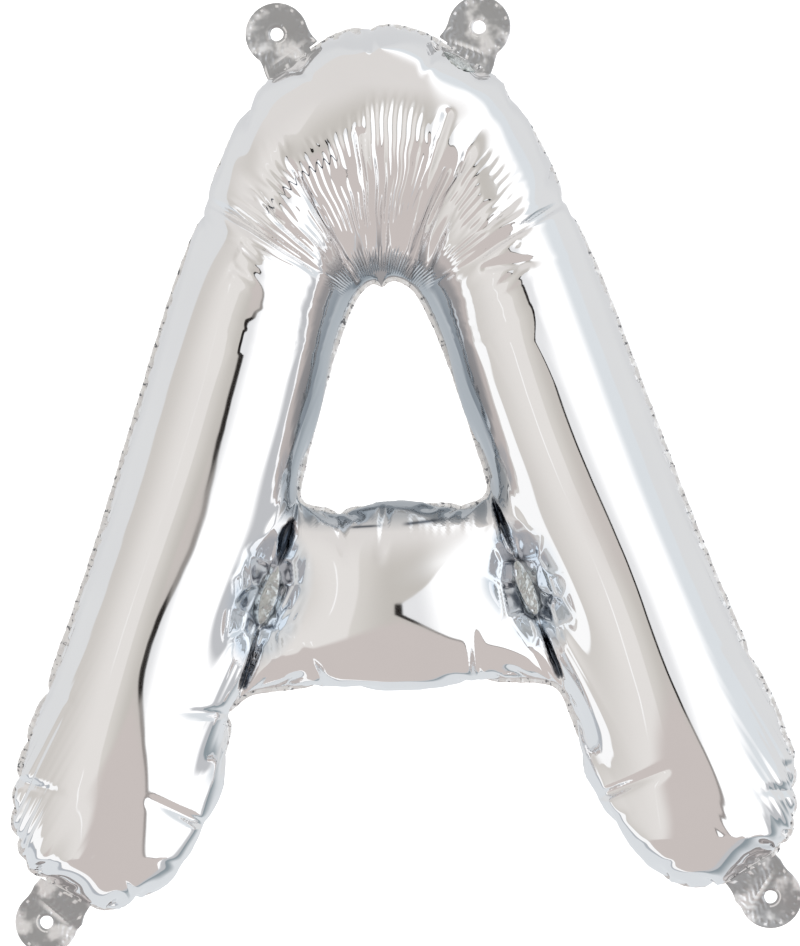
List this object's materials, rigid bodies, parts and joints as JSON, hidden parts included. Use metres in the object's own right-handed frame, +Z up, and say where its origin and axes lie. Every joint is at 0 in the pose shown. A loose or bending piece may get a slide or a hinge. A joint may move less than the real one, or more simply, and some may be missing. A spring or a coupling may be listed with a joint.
{
  "type": "letter foil balloon",
  "caption": "Inflated foil balloon in the shape of a capital A, with welded rims, a filler mouth and punched hanging tabs at the crown and feet.",
  "frame": {"origin": "centre of the balloon, midway between its tabs and in the plane of the weld between its two films; the balloon floats or is hung there and stands on nothing", "axes": "+Z up through the crown, +X to the right seen from the front, -Y out of the front film"},
  "size_m": [0.364, 0.081, 0.4317],
  "materials": {
    "foil": "mirror-bright silver metallised film",
    "seam_foil": "crinkled silver film at the heat weld",
    "tab_foil": "flat grey silver film with welded speckles",
    "sleeve_foil": "crumpled film of the valve sleeve"
  },
  "bodies": {
    "envelope": {"front_film": "foil", "back_film": "foil", "outer_seam": "seam_foil", "counter_seam": "seam_foil", "weld_left": "seam_foil", "weld_right": "seam_foil", "filler_mouth": "sleeve_foil"},
    "tab_top_left": {"tab_top_left": "tab_foil"},
    "tab_top_right": {"tab_top_right": "tab_foil"},
    "tab_bottom_left": {"tab_bottom_left": "tab_foil"},
    "tab_bottom_right": {"tab_bottom_right": "tab_foil"}
  },
  "joints": [
    {"name": "fold_top_left", "type": "hinge", "parent": "envelope", "child": "tab_top_left", "pos_m": [-0.0395, 0, 0.1884], "axis": [0.8205, 0, 0.5717], "range_deg": [-90, 90], "stiffness_Nm_per_rad": 0.0002},
    {"name": "fold_top_right", "type": "hinge", "parent": "envelope", "child": "tab_top_right", "pos_m": [0.0395, 0, 0.1884], "axis": [0.8205, 0, -0.5717], "range_deg": [-90, 90], "stiffness_Nm_per_rad": 0.0002},
    {"name": "fold_bottom_left", "type": "hinge", "parent": "envelope", "child": "tab_bottom_left", "pos_m": [-0.1587, 0, -0.19505], "axis": [-0.8657, 0, 0.5006], "range_deg": [-90, 90], "stiffness_Nm_per_rad": 0.0002},
    {"name": "fold_bottom_right", "type": "hinge", "parent": "envelope", "child": "tab_bottom_right", "pos_m": [0.1587, 0, -0.19505], "axis": [-0.8657, 0, -0.5006], "range_deg": [-90, 90], "stiffness_Nm_per_rad": 0.0002}
  ]
}
